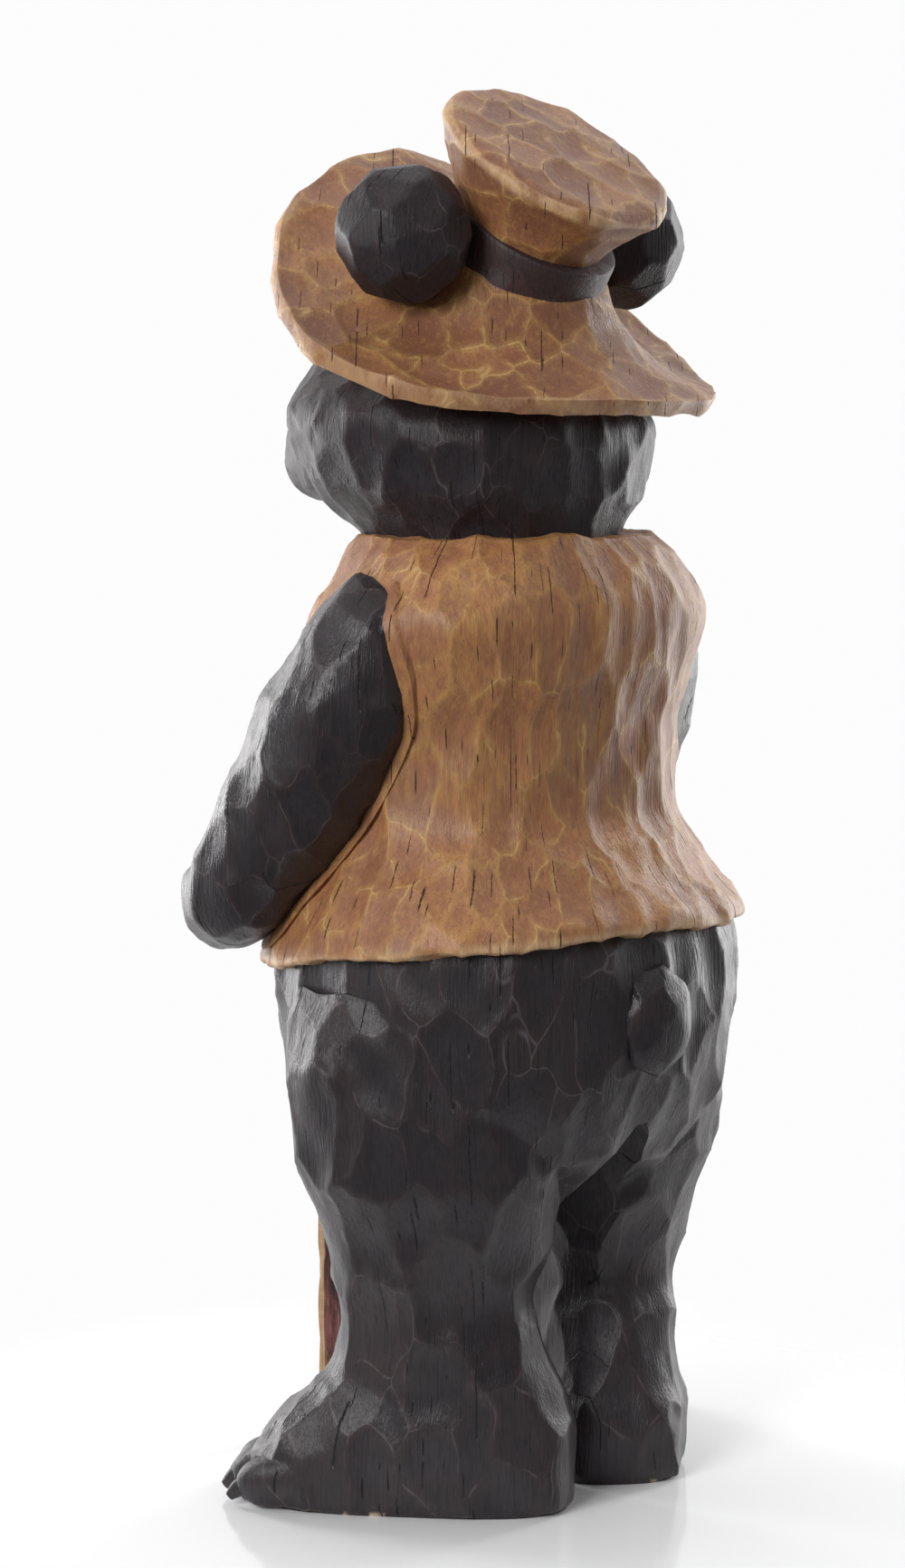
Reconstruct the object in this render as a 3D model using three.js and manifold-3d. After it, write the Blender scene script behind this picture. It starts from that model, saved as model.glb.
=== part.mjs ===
// Standing carved bear in a brimmed hat and a sleeveless vest, holding a bark-backed half log.
// Millimetres, +Z up. The bear looks along -Y, its left hand is on +X, its soles are on z = 0.
import * as THREE from 'three';
import { mergeVertices } from 'three/addons/utils/BufferGeometryUtils.js';
import Module from 'manifold-3d';

const wasm = await Module();
wasm.setup();

// driving dimensions
const HIP_HEIGHT = 320;             // widest level of the hips
const HIP_HALF = [155, 132];        // half width and half depth there
const HEM_HEIGHT = 357;             // underside of the vest at the side seams
const HEM_RISE = 0.13;              // the hem climbs towards the back by this slope
const VEST_WALL = 8;                // how far the vest stands off the body under it
const COLLAR_HEIGHT = 622;
const CHEEK_HEIGHT = 694;           // widest level of the head
const HEAD_FORWARD = 35;            // the head is carried this far in front of the hips
const EAR = { side: 100, back: 5, height: 813, radius: 44 };
const ANKLE = { side: 82, back: 8 };
const FOOT_SPLAY = THREE.MathUtils.degToRad(38);
const LEG_TURN = FOOT_SPLAY - Math.PI / 2;
const HAT_TILT = THREE.MathUtils.degToRad(-36);
const HAT_SEAT = [2, 24, 808];      // middle of the brim where the crown stands on it
const BRIM_HALF = [164, 141];
const BRIM_SHIFT = [-9, -6];        // the brim stands off-centre by this on the crown
const BRIM_DROOP = [25, 49];        // droop all round, and the part added at the two sides
const BRIM_FLARE = 2.5;             // power of the bell's curve, 1 for a plain cone
const BRIM_ROOT = 0.3;               // share of the brim's reach that lies flat under the crown
const BRIM_THICK = 11;
const CROWN_FOOT = 48;              // radius of the crown just above the band
const CROWN_TOP = 77;               // radius of its flared top
const BAND = { radius: 56, height: 20 };
const LOG = { half: 21, face: -162, bulge: 21, height: 470 };
const PIECE_GAP = 0.3;              // clearance between the bear and the half log
const HEWN = 0.014;                 // share by which flat tool cuts vary a section

// shaping tools

// Smooth value between rows of numbers, by the Catmull-Rom rule.
function between(rows, share) {
  const last = rows.length - 1;
  const place = Math.min(share * last, last - 1e-9);
  const i = Math.floor(place);
  const t = place - i;
  const [a, b, c, d] = [i - 1, i, i + 1, i + 2].map((k) => rows[Math.max(0, Math.min(last, k))]);
  return b.map((_, n) => 0.5 * (2 * b[n] + (c[n] - a[n]) * t
    + (2 * a[n] - 5 * b[n] + 4 * c[n] - d[n]) * t * t
    + (3 * b[n] - a[n] - 3 * c[n] + d[n]) * t * t * t));
}

// Closed skin over rings of equal count; every second ring is turned half a step.
function skin(rings) {
  const count = rings[0].length;
  const points = rings.flat();
  const faces = [];
  const next = (i) => (i + 1) % count;
  for (let k = 0; k + 1 < rings.length; k += 1) {
    const low = k * count;
    const high = low + count;
    for (let i = 0; i < count; i += 1) {
      if (k % 2 === 0) {
        faces.push(low + i, low + next(i), high + i, low + next(i), high + next(i), high + i);
      } else {
        faces.push(low + i, high + next(i), high + i, low + i, low + next(i), high + next(i));
      }
    }
  }
  for (const [start, turned] of [[0, true], [(rings.length - 1) * count, false]]) {
    const middle = points.slice(start, start + count)
      .reduce((sum, p) => sum.add(p), new THREE.Vector3()).divideScalar(count);
    points.push(middle);
    const hub = points.length - 1;
    for (let i = 0; i < count; i += 1) {
      faces.push(hub, start + (turned ? next(i) : i), start + (turned ? i : next(i)));
    }
  }
  const shape = new THREE.BufferGeometry();
  shape.setAttribute('position', new THREE.Float32BufferAttribute(points.flatMap((p) => p.toArray()), 3));
  shape.setIndex(faces);
  return shape;
}

// Rounded section: square 2 is an ellipse, larger is boxier.
function sectionPoint(angle, halfA, halfB, square) {
  const round = (v) => Math.sign(v) * Math.abs(v) ** (2 / square);
  return [halfA * round(Math.cos(angle)), halfB * round(Math.sin(angle))];
}

// Each row is x, y, z, halfA, halfB, square. Level sections, or square to the path when follow is set.
function carve(rows, { segments = 24, rings = 12, turn = 0, follow = false } = {}) {
  const path = (share) => new THREE.Vector3(...between(rows, share));
  const sections = [];
  for (let k = 0; k <= rings; k += 1) {
    const share = k / rings;
    const [x, y, z, halfA, halfB, square] = between(rows, share);
    const along = follow
      ? path(Math.min(1, share + 0.02)).sub(path(Math.max(0, share - 0.02))).normalize()
      : new THREE.Vector3(0, 0, 1);
    const side = new THREE.Vector3(Math.cos(turn), Math.sin(turn), 0);
    side.addScaledVector(along, -side.dot(along)).normalize();
    const depth = along.clone().cross(side);
    const section = [];
    for (let i = 0; i < segments; i += 1) {
      const angle = 2 * Math.PI * (i + (k % 2) / 2) / segments;
      const cut = 1 + HEWN * Math.sin(i * 12.9 + k * 78.2 + x);
      const [a, b] = sectionPoint(angle, halfA * cut, halfB * cut, square);
      section.push(new THREE.Vector3(x, y, z).addScaledVector(side, a).addScaledVector(depth, b));
    }
    sections.push(section);
  }
  return skin(sections);
}

function ball(x, y, z, halfX, halfY, halfZ, segments = 14, rings = 8) {
  const sections = [];
  for (let k = 1; k < rings; k += 1) {
    const height = -Math.cos(Math.PI * k / rings);
    const reach = Math.sqrt(1 - height * height);
    const section = [];
    for (let i = 0; i < segments; i += 1) {
      const angle = 2 * Math.PI * (i + ((k + 1) % 2) / 2) / segments;
      section.push(new THREE.Vector3(x + halfX * reach * Math.cos(angle),
        y + halfY * reach * Math.sin(angle), z + halfZ * height));
    }
    sections.push(section);
  }
  return skin(sections);
}

function toSolid(shape) {
  const bare = new THREE.BufferGeometry();
  bare.setAttribute('position', shape.getAttribute('position'));
  if (shape.index) bare.setIndex(shape.index);
  const clean = mergeVertices(bare, 1e-4);
  return new wasm.Manifold(new wasm.Mesh({
    numProp: 3,
    vertProperties: new Float32Array(clean.attributes.position.array),
    triVerts: new Uint32Array(clean.index.array),
  }));
}

function toShape(solid) {
  const mesh = solid.getMesh();
  const shape = new THREE.BufferGeometry();
  shape.setAttribute('position', new THREE.BufferAttribute(mesh.vertProperties, 3));
  shape.setIndex(new THREE.BufferAttribute(mesh.triVerts, 1));
  return shape;
}

const joinAll = (shapes) => shapes.map(toSolid).reduce((whole, solid) => whole.add(solid));

// The same form on the bear's other side.
function mirrored(shape) {
  const copy = shape.clone();
  const places = copy.getAttribute('position');
  for (let i = 0; i < places.count; i += 1) places.setX(i, -places.getX(i));
  const order = Array.from(copy.index.array);
  for (let i = 0; i < order.length; i += 3) [order[i], order[i + 1]] = [order[i + 1], order[i]];
  copy.setIndex(order);
  return copy;
}

const bothSides = (shapes) => shapes.flatMap((shape) => [shape, mirrored(shape)]);

// body

// Rows up the vest: height, half width, half depth, forward shift.
const VEST_ROWS = [
  [HEM_HEIGHT, HIP_HALF[0] + 10, HIP_HALF[1] + 7, -2],
  [HEM_HEIGHT + 14, HIP_HALF[0] + 7, HIP_HALF[1] + 4, -2],
  [394, 151, 126, -7],
  [420, 135, 112, -8],
  [448, 125, 101, -9],
  [497, 124, 100, -8],
  [528, 135, 103, -6],
  [568, 142, 105, 0],
  [593, 127, 96, 4],
  [611, 113, 88, 1],
  [COLLAR_HEIGHT, 100, 82, -3],
];

function torso() {
  const under = VEST_ROWS.slice(3, -1).map(([z, a, b, y]) => [0, y, z, a - VEST_WALL, b - VEST_WALL, 2.2]);
  return carve([
    [0, 0, 196, 76, 74, 2.1],
    [0, 0, 226, 120, 106, 2.2],
    [0, 0, 260, 145, 125, 2.2],
    [0, 0, 292, HIP_HALF[0] - 1, HIP_HALF[1] - 1, 2.2],
    [0, 0, HIP_HEIGHT, ...HIP_HALF, 2.2],
    [0, -1, 370, HIP_HALF[0] - 2, HIP_HALF[1] - 2, 2.2],
    ...under,
  ], { segments: 24, rings: 12 });
}

function tail() {
  return ball(0, 124, 318, 31, 14, 36, 12, 6);
}

// Skin of the vest as a closed bell; its foot climbs to the back.
function vestBell() {
  const shape = carve(VEST_ROWS.map(([z, a, b, y]) => [0, y, z, a, b, 2.25]), { segments: 26, rings: 13 });
  const places = shape.getAttribute('position');
  for (let i = 0; i < places.count; i += 1) {
    const z = places.getZ(i);
    const fade = Math.max(0, 1 - (z - HEM_HEIGHT) / 90);
    places.setZ(i, z + HEM_RISE * places.getY(i) * fade);
  }
  return shape;
}

// Space between the two vest fronts: a waisted slot that opens out at the neck.
function vestOpening() {
  const outline = new THREE.Shape([[-44, 300], [44, 300], [26, 470], [66, 660], [-66, 660], [-26, 470]]
    .map(([x, z]) => new THREE.Vector2(x, z)));
  const slot = new THREE.ExtrudeGeometry(outline, { depth: 200, bevelEnabled: false });
  return slot.rotateX(Math.PI / 2).translate(0, -40, 0);
}

function vest() {
  return toSolid(vestBell()).subtract(toSolid(vestOpening()));
}

// legs

// Place on the foot: along towards the toes, across away from the other foot.
function onFoot(along, across) {
  const [s, c] = [Math.sin(FOOT_SPLAY), Math.cos(FOOT_SPLAY)];
  return [ANKLE.side + s * along + c * across, ANKLE.back - c * along + s * across];
}

function leg() {
  // height, shift towards the toes, half length, half width, squareness
  const rows = [
    [0, 8, 100, 49, 3.2],
    [10, 9, 104, 52, 3.2],
    [31, 8, 103, 53, 3],
    [47, 5, 98, 52, 2.8],
    [62, 0, 89, 50, 2.6],
    [82, -9, 75, 47, 2.4],
    [105, -8, 67, 47, 2.3],
    [133, -4, 63, 49, 2.2],
    [175, -5, 73, 58, 2.2],
    [217, -3, 86, 73, 2.2],
    [258, -3, 93, 79, 2.2],
    [298, -3, 92, 79, 2.2],
    [338, -4, 86, 72, 2.2],
  ];
  return carve(rows.map(([z, along, long, wide, square]) => [...onFoot(along, 0), z, long, wide, square]),
    { segments: 20, rings: 14, turn: LEG_TURN });
}

// Hollow between the backs of the legs, running up under the tail.
function cleft() {
  return carve([
    [0, 112, 112, 26, 92, 2],
    [0, 112, 150, 32, 92, 2],
    [0, 112, 186, 29, 90, 2],
    [0, 114, 216, 21, 84, 2],
    [0, 118, 236, 13, 72, 2],
    [0, 122, 250, 4, 52, 2],
  ], { segments: 16, rings: 7 });
}

function toes() {
  const parts = [];
  const spread = [-37, -13, 12, 37];
  for (const across of spread) {
    const reach = 104 - 0.006 * across * across;
    const rows = [
      [reach - 34, 20, 13, 16],
      [reach - 6, 18, 14, 17],
      [reach + 12, 15, 12.5, 14.5],
      [reach + 21, 12, 7, 8],
    ];
    parts.push(carve(rows.map(([s, z, wide, tall]) => [...onFoot(s, across), z, wide, tall, 2.4]),
      { segments: 9, rings: 3, turn: LEG_TURN + Math.PI / 2, follow: true }));
    const claw = [
      [reach + 14, 15, 4.5, 6],
      [reach + 22, 12, 4, 6],
      [reach + 29, 6, 2, 3],
    ];
    parts.push(carve(claw.map(([s, z, wide, tall]) => [...onFoot(s, across), z, wide, tall, 2]),
      { segments: 6, rings: 2, turn: LEG_TURN + Math.PI / 2, follow: true }));
  }
  return parts;
}

// arms

function arm() {
  return carve([
    [105, 0, 588, 24, 25, 2],
    [117, -3, 566, 38, 39, 2.1],
    [127, -11, 532, 45, 45, 2.1],
    [139, -27, 494, 47, 46, 2.1],
    [148, -46, 456, 43, 43, 2.1],
    [158, -68, 420, 39, 39, 2.1],
    [163, -84, 396, 34, 35, 2.1],
    [150, -108, 388, 29, 31, 2.1],
    [116, -131, 394, 28, 30, 2.1],
    [80, -147, 404, 29, 31, 2.1],
    [56, -154, 411, 30, 32, 2.1],
  ], { segments: 14, rings: 17, turn: -0.5, follow: true });
}

function paw() {
  const parts = [ball(44, -156, 413, 32, 27, 33, 12, 7)];
  for (let i = 0; i < 4; i += 1) {
    const z = 434 - i * 14;
    parts.push(ball(22, -171, z, 17, 11, 7.5, 8, 4));
    parts.push(carve([
      [18, -178, z, 4, 5, 2],
      [9, -181, z, 3.5, 4.5, 2],
      [2.5, -176, z - 1, 1.5, 2, 2],
    ], { segments: 6, rings: 2, turn: Math.PI / 2, follow: true }));
  }
  return parts;
}

// head

function head() {
  return carve([
    [0, -10, 596, 74, 71, 2.1],
    [0, -13, 614, 81, 77, 2.1],
    [0, -18, 630, 90, 85, 2.15],
    [0, -27, 654, 109, 101, 2.2],
    [0, -HEAD_FORWARD, CHEEK_HEIGHT, 121, 112, 2.2],
    [0, -HEAD_FORWARD - 11, 718, 109, 95, 2.15],
    [0, -HEAD_FORWARD - 23, 744, 80, 62, 2.1],
    [0, -HEAD_FORWARD - 3, 768, 56, 50, 2],
    [0, -4, 790, 38, 38, 2],
  ], { segments: 24, rings: 11 });
}

function face() {
  const muzzle = carve([
    [0, -120, 680, 60, 50, 2.2],
    [0, -150, 677, 50, 41, 2.2],
    [0, -172, 673, 39, 33, 2.2],
    [0, -189, 671, 21, 20, 2],
  ], { segments: 16, rings: 5, follow: true });
  const nose = ball(0, -184, 690, 17, 12, 12, 10, 6);
  const eyes = bothSides([ball(41, -134, 714, 9, 9, 10, 8, 5)]);
  return [muzzle, nose, ...eyes];
}

const ear = () => ball(EAR.side, EAR.back, EAR.height, EAR.radius, EAR.radius * 0.94, EAR.radius, 12, 8);

// hat

function onHat(shape) {
  return shape.rotateX(HAT_TILT).translate(...HAT_SEAT);
}

// Bell brim: it falls away steeply at the crown and flattens, and droops most at the two sides.
function brim() {
  const segments = 28;
  const outward = [BRIM_ROOT, 0.44, 0.62, 0.8, 1];
  const levels = [...outward.map((t) => [t, -BRIM_THICK]), ...outward.toReversed().map((t) => [t, 0])];
  const rings = levels.map(([t, lift], k) => {
    const ring = [];
    for (let i = 0; i < segments; i += 1) {
      const angle = 2 * Math.PI * (i + (k % 2) / 2) / segments;
      const droop = BRIM_DROOP[0] + BRIM_DROOP[1] * Math.cos(angle) ** 2;
      const fall = 1 - (1 - Math.max(0, (t - BRIM_ROOT) / (1 - BRIM_ROOT))) ** BRIM_FLARE;
      ring.push(new THREE.Vector3((BRIM_HALF[0] * Math.cos(angle) + BRIM_SHIFT[0]) * t,
        (BRIM_HALF[1] * Math.sin(angle) + BRIM_SHIFT[1]) * t, lift - droop * fall));
    }
    return ring;
  });
  return skin(rings);
}

function crown() {
  return carve([
    [5, -5, -24, CROWN_FOOT, CROWN_FOOT, 2],
    [5, -6, 6, CROWN_FOOT, CROWN_FOOT, 2],
    [3, -10, 24, CROWN_FOOT + 9, CROWN_FOOT + 8, 2.1],
    [0, -15, 42, CROWN_FOOT + 21, CROWN_FOOT + 20, 2.1],
    [-3, -18, 54, CROWN_TOP, CROWN_TOP, 2.1],
    [-3, -19, 59, CROWN_TOP - 6, CROWN_TOP - 6, 2.1],
  ], { segments: 24, rings: 7 });
}

function band() {
  return carve([
    [1, -3, -20, BAND.radius, BAND.radius, 2],
    [1, -3, BAND.height * 0.4 - 8, BAND.radius, BAND.radius, 2],
    [1, -3, BAND.height - 8, BAND.radius - 1, BAND.radius - 1, 2],
  ], { segments: 24, rings: 3 });
}

// half log

// D-shaped section: sawn face to the front, bark behind; grow widens it all round.
function halfLog(grow) {
  const arcSteps = 14;
  const heights = [0 - grow, 120, 240, 360, LOG.height + grow];
  return skin(heights.map((z, k) => {
    const ring = [];
    for (let i = 0; i < arcSteps; i += 1) {
      const angle = Math.PI * i / (arcSteps - 1);
      const bark = 1 + 0.05 * Math.sin(i * 2.3 + Math.min(k, 3) * 1.1);
      ring.push(new THREE.Vector3((LOG.half * bark + grow) * Math.cos(angle),
        LOG.face - grow + (LOG.bulge * bark + 2 * grow) * Math.sin(angle), z));
    }
    return ring;
  }));
}

// assembly

function bear() {
  const carved = joinAll([
    torso(), tail(), head(), ...face(), ...bothSides([leg(), ...toes(), arm(), ...paw(), ear()]),
    onHat(brim()), onHat(crown()), onHat(band()),
  ]);
  return carved.subtract(toSolid(cleft())).add(vest()).subtract(toSolid(halfLog(PIECE_GAP)));
}

function addPiece(group, name, solid, colour, roughness) {
  const material = new THREE.MeshStandardMaterial({ color: colour, roughness, metalness: 0 });
  const mesh = new THREE.Mesh(toShape(solid), material);
  mesh.name = name;
  group.add(mesh);
}

const figure = new THREE.Group();
addPiece(figure, 'bear', bear(), 0x3a383b, 0.45);
addPiece(figure, 'bark_post', toSolid(halfLog(0)), 0x6a4444, 0.8);

// The origin is the middle of the figure's footprint box, on the floor.
const footprint = new THREE.Box3().setFromObject(figure).getCenter(new THREE.Vector3());
figure.children.forEach((mesh) => mesh.geometry.translate(-footprint.x, -footprint.y, 0));

export default figure;
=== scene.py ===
import math
import bpy
import numpy as np
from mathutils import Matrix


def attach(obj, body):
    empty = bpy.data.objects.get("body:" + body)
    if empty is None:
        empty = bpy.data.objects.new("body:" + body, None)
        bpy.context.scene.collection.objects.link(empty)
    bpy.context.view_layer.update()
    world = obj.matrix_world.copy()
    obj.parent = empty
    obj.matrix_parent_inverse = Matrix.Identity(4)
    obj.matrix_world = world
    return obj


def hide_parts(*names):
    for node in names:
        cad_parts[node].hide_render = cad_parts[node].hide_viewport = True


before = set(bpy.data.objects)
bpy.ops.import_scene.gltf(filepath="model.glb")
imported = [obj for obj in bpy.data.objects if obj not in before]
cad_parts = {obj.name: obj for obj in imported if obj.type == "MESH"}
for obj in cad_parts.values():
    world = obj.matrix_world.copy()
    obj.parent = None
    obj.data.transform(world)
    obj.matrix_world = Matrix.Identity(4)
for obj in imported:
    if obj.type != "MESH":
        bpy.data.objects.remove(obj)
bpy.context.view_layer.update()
mm = 0.001
rideShift = 28.7  # the bear's own axis stands this far behind the middle of its footprint, in mm


# numbers and rows

def between(rows, share):
    # Catmull-Rom value between rows, for a whole list of shares at once
    rows = np.asarray(rows, float)
    last = len(rows) - 1
    place = np.clip(np.asarray(share, float) * last, 0, last - 1e-9)
    i = place.astype(int)
    t = (place - i)[:, None]
    a, b, c, d = (rows[np.clip(i + k, 0, last)] for k in (-1, 0, 1, 2))
    return 0.5 * (2 * b + (c - a) * t + (2 * a - 5 * b + 4 * c - d) * t ** 2
                  + (3 * b - a - 3 * c + d) * t ** 3)


def roundPower(value, square):
    return np.sign(value) * np.abs(value) ** (2 / square)


def stepCount(length, step, least):
    return max(least, int(round(length / step)))


# mesh making

def closedSkin(rings):
    # rings: a list of (count, 3) arrays, each end closed by a fan to its middle
    count = len(rings[0])
    layers = len(rings)
    points = np.concatenate(rings)
    grid = np.arange(layers * count).reshape(layers, count)
    low, high = grid[:-1], grid[1:]
    quads = np.stack([low, np.roll(low, -1, 1), np.roll(high, -1, 1), high], -1).reshape(-1, 4)
    faces = quads.tolist()
    for ring, turned in ((grid[0], True), (grid[-1], False)):
        hub = len(points)
        points = np.vstack([points, points[ring].mean(0)])
        after = np.roll(ring, -1)
        for a, b in zip(ring.tolist(), after.tolist()):
            faces.append((hub, b, a) if turned else (hub, a, b))
    return points, faces


def capRings(ring, step, dome=0.0):
    # concentric copies of an end ring, so that a flat end carries tool marks too
    centre = ring.mean(0)
    reach = np.linalg.norm(ring - centre, axis=1).max()
    count = stepCount(reach, step, 2)
    normal = np.cross(ring[len(ring) // 4] - centre, ring[0] - centre)
    normal /= -max(np.linalg.norm(normal), 1e-9)
    return [centre + (ring - centre) * (1 - k / count) + normal * dome * (1 - (1 - k / count) ** 2)
            for k in range(1, count)]


def carve(rows, step, turn=0.0, follow=False, dome=0.0, mirror=False):
    # each row: x, y, z, half width, half depth, squareness
    # the sections lie level, or with follow they stand square to the path of their middles
    rows = np.asarray(rows, float)
    samples, lookAhead = 200, 0.02
    fine = between(rows, np.linspace(0, 1, samples))
    length = np.linalg.norm(np.diff(fine[:, :3], axis=0), axis=1).sum()
    if not follow:
        length += np.abs(np.diff(fine[:, 3])).sum() * 0.5
    around = stepCount(math.pi * (fine[:, 3].max() + fine[:, 4].max()) * 0.95, step, 10)
    share = np.linspace(0, 1, stepCount(length, step, 4) + 1)
    sections = between(rows, share)
    path = lambda s: between(rows, np.clip(s, 0, 1))[:, :3]
    along = np.tile([0.0, 0.0, 1.0], (len(share), 1))
    if follow:
        along = path(share + lookAhead) - path(share - lookAhead)
    along /= np.linalg.norm(along, axis=1)[:, None]
    side = np.tile([math.cos(turn), math.sin(turn), 0.0], (len(share), 1))
    side -= along * (side * along).sum(1)[:, None]
    side /= np.linalg.norm(side, axis=1)[:, None]
    depth = np.cross(along, side)
    angle = np.linspace(0, 2 * math.pi, around, endpoint=False)
    rings = []
    for k, row in enumerate(sections):
        a = row[3] * roundPower(np.cos(angle), row[5])
        b = row[4] * roundPower(np.sin(angle), row[5])
        rings.append(row[:3] + a[:, None] * side[k] + b[:, None] * depth[k])
    rings = capRings(rings[0], step)[::-1] + rings + capRings(rings[-1], step, dome)
    points, faces = closedSkin(rings)
    if mirror:
        points = points * [-1, 1, 1]
        faces = [tuple(reversed(f)) for f in faces]
    return points, faces


def ball(centre, half, step):
    around = stepCount(2 * math.pi * max(half[0], half[1]), step, 10)
    layers = stepCount(math.pi * max(half), step, 6)
    angle = np.linspace(0, 2 * math.pi, around, endpoint=False)
    rings = []
    for k in range(1, layers):
        height = -math.cos(math.pi * k / layers)
        reach = math.sqrt(1 - height * height)
        rings.append(np.stack([centre[0] + half[0] * reach * np.cos(angle),
                               centre[1] + half[1] * reach * np.sin(angle),
                               np.full(around, centre[2] + half[2] * height)], 1))
    return closedSkin(rings)


knife = {
    "swing": 0.25, "wander": 0.04,  # how far a flat strays from its even place round the ball
    "depth": (0.93, 0.965), "corner": 1.02,  # in radii: how deep the flats lie, the furthest corner
}


def hewnBall(centre, half, flats, step, seed):
    # a ball cut all round by flats of a knife, each a plane at its own depth
    points, faces = ball((0, 0, 0), (1, 1, 1), step / max(half))
    rng = np.random.default_rng(seed)
    order = np.arange(flats)
    turn = order * math.pi * (3 - math.sqrt(5))
    turn = turn + rng.uniform(-knife["swing"], knife["swing"], flats)
    height = 1 - (2 * order + 1) / flats + rng.uniform(-knife["wander"], knife["wander"], flats)
    height = np.clip(height, -1, 1)
    reach = np.sqrt(1 - height ** 2)
    facing = np.stack([reach * np.cos(turn), reach * np.sin(turn), height], 1)
    depth = rng.uniform(*knife["depth"], flats)
    points /= np.linalg.norm(points, axis=1)[:, None]
    cut = depth / np.maximum(points @ facing.T, 0.2)
    points *= np.minimum(cut.min(1), knife["corner"])[:, None]
    return points * half + centre, faces


def makeObject(name, body, slotIndex=0):
    points, faces = body
    mesh = bpy.data.meshes.new(name)
    mesh.from_pydata((np.asarray(points) * mm).tolist(), [], [tuple(f) for f in faces])
    mesh.polygons.foreach_set("material_index", [slotIndex] * len(mesh.polygons))
    for finish in finishes:
        mesh.materials.append(finish)
    mesh.update()
    piece = bpy.data.objects.new(name, mesh)
    bpy.context.scene.collection.objects.link(piece)
    return piece


def settle(piece):
    # keep what the modifiers make as plain mesh, then drop them
    graph = bpy.context.evaluated_depsgraph_get()
    mesh = bpy.data.meshes.new_from_object(piece.evaluated_get(graph))
    piece.modifiers.clear()
    old = piece.data
    piece.data = mesh
    bpy.data.meshes.remove(old)
    return piece


def combine(piece, other, operation="UNION"):
    step = piece.modifiers.new("combine", "BOOLEAN")
    step.operation = operation
    step.solver = "MANIFOLD"
    step.object = other
    settle(piece)
    bpy.data.objects.remove(other)
    return piece


# tool marks, as a node tree

handSway = {"scale": 1.1, "reach": 0.75}  # how far the hand strays from a regular row of cuts

cutForm = {
    "ridge": 0.006,  # how softly two cuts meet
    "level": 0.24,  # the height on a cut's slope that stays where the surface was
    "smallScale": 2.2, "smallSoft": 0.08, "smallJitter": 0.9, "smallLevel": 0.2, "smallShare": 0.07,
    "wobbleScale": 4.0, "wobbleShare": 0.05,
    "floorFade": 250.0,  # per metre: the cuts reach their full depth 4 mm above the floor
}


def gougeTree():
    # scoops of a gouge: every cell of a jittered grid is one cut, hollow in its middle
    tree = bpy.data.node_groups.new("gougeCuts", "GeometryNodeTree")
    face = tree.interface
    face.new_socket("Geometry", in_out="INPUT", socket_type="NodeSocketGeometry")
    face.new_socket("Cut size", in_out="INPUT", socket_type="NodeSocketVector")
    face.new_socket("Depth", in_out="INPUT", socket_type="NodeSocketFloat")
    face.new_socket("Jitter", in_out="INPUT", socket_type="NodeSocketFloat")
    face.new_socket("Floor", in_out="INPUT", socket_type="NodeSocketFloat")
    face.new_socket("Geometry", in_out="OUTPUT", socket_type="NodeSocketGeometry")
    source = tree.nodes.new("NodeGroupInput")
    target = tree.nodes.new("NodeGroupOutput")

    def node(kind, settings=None, inputs=None, output=0):
        made = tree.nodes.new(kind)
        for key, value in (settings or {}).items():
            setattr(made, key, value)
        for key, value in (inputs or {}).items():
            if isinstance(value, bpy.types.NodeSocket):
                tree.links.new(value, made.inputs[key])
            else:
                made.inputs[key].default_value = value
        return made.outputs[output]

    def math2(operation, a, b):
        return node("ShaderNodeMath", {"operation": operation}, {0: a, 1: b})

    def vector(operation, inputs):
        return node("ShaderNodeVectorMath", {"operation": operation}, inputs)

    def cells(feature):
        return node("ShaderNodeTexVoronoi", {"feature": feature},
                    {"Vector": scaled, "Scale": 1.0, "Randomness": source.outputs["Jitter"]})

    place = node("GeometryNodeInputPosition")
    straight = vector("DIVIDE", {0: place, 1: source.outputs["Cut size"]})
    sway = node("ShaderNodeTexNoise", None,
                {"Vector": straight, "Scale": handSway["scale"], "Detail": 1.0}, 1)
    sway = vector("SUBTRACT", {0: sway, 1: (0.5, 0.5, 0.5)})
    sway = vector("SCALE", {0: sway, "Scale": handSway["reach"]})
    scaled = vector("ADD", {0: straight, 1: sway})
    near, second = cells("F1"), cells("F2")
    nearSquare = math2("MULTIPLY", near, near)
    secondSquare = math2("MULTIPLY", second, second)
    soft = node("ShaderNodeMath", {"operation": "SMOOTH_MIN"},
                {0: nearSquare, 1: secondSquare, 2: cutForm["ridge"]})
    small = node("ShaderNodeTexVoronoi", {"feature": "SMOOTH_F1"},
                 {"Vector": scaled, "Scale": cutForm["smallScale"],
                  "Smoothness": cutForm["smallSoft"], "Randomness": cutForm["smallJitter"]})
    small = math2("SUBTRACT", math2("MULTIPLY", small, small), cutForm["smallLevel"])
    wobble = node("ShaderNodeTexNoise", None,
                  {"Vector": scaled, "Scale": cutForm["wobbleScale"], "Detail": 2.0})
    wobble = math2("SUBTRACT", wobble, 0.5)
    height = math2("SUBTRACT", soft, cutForm["level"])
    height = math2("ADD", height, math2("MULTIPLY", small, cutForm["smallShare"]))
    height = math2("ADD", height, math2("MULTIPLY", wobble, cutForm["wobbleShare"]))
    lift = math2("MULTIPLY", height, source.outputs["Depth"])
    above = node("ShaderNodeSeparateXYZ", None, {0: place}, 2)
    above = math2("SUBTRACT", above, source.outputs["Floor"])
    fade = node("ShaderNodeMath", {"operation": "MULTIPLY", "use_clamp": True},
                {0: above, 1: cutForm["floorFade"]})
    lift = math2("MULTIPLY", lift, fade)
    offset = vector("SCALE", {0: node("GeometryNodeInputNormal"), "Scale": lift})
    moved = node("GeometryNodeSetPosition", None,
                 {"Geometry": source.outputs["Geometry"], "Offset": offset})
    tree.links.new(moved, target.inputs["Geometry"])
    return tree


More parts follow.
